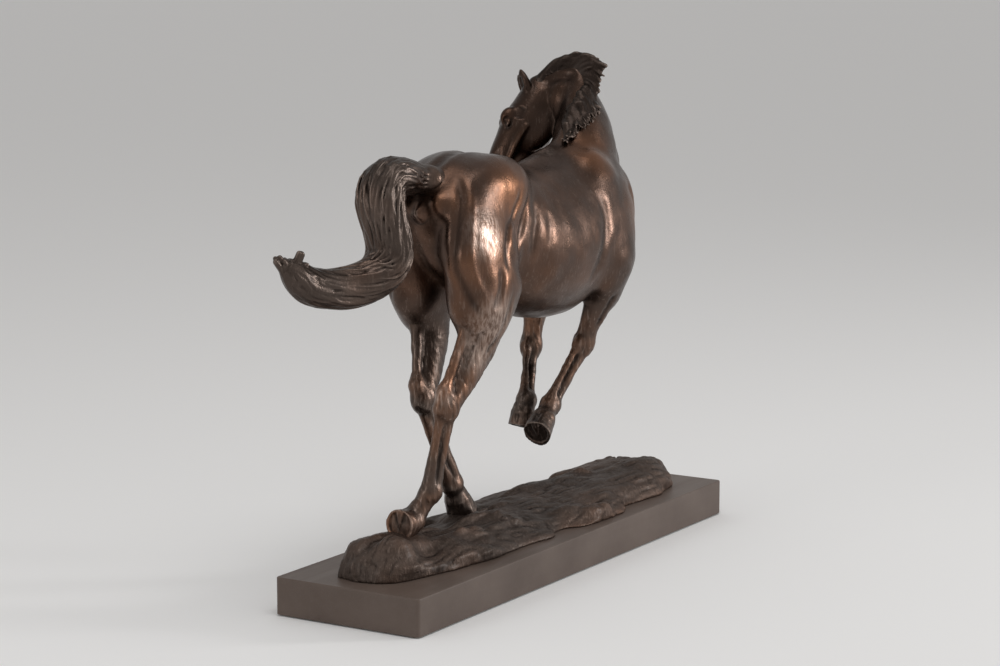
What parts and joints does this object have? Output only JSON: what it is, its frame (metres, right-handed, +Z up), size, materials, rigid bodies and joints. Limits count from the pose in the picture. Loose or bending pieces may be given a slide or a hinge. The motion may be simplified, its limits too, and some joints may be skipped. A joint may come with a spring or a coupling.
{
  "type": "horse statuette",
  "caption": "Cast bronze statuette of a galloping horse looking back, tail raised, on a rocky bronze ground bolted to a long stone plinth with a felt pad",
  "frame": {"origin": "middle of the felt pad's underside, where the statuette rests", "axes": "+X the way the horse's body faces, along the plinth; +Y the horse's left; +Z up"},
  "size_m": [0.4484, 0.1247, 0.353],
  "materials": {
    "bronze": "dark chocolate-brown patina, rubbed to copper on the high places, waxed to a satin gloss",
    "steel": "zinc plated",
    "stone": "honed dark grey-brown stone",
    "felt": "thin pressed felt"
  },
  "bodies": {
    "root": {"torso": "bronze", "neck": "bronze", "head": "bronze", "mane": "bronze", "tail": "bronze", "hind_leg_right": "bronze", "hind_leg_left": "bronze", "foreleg_right": "bronze", "foreleg_left": "bronze", "ground": "bronze", "hoof_pins": "bronze", "bolts": "steel", "washers": "steel", "plinth": "stone", "felt_pad": "felt"}
  },
  "joints": []
}
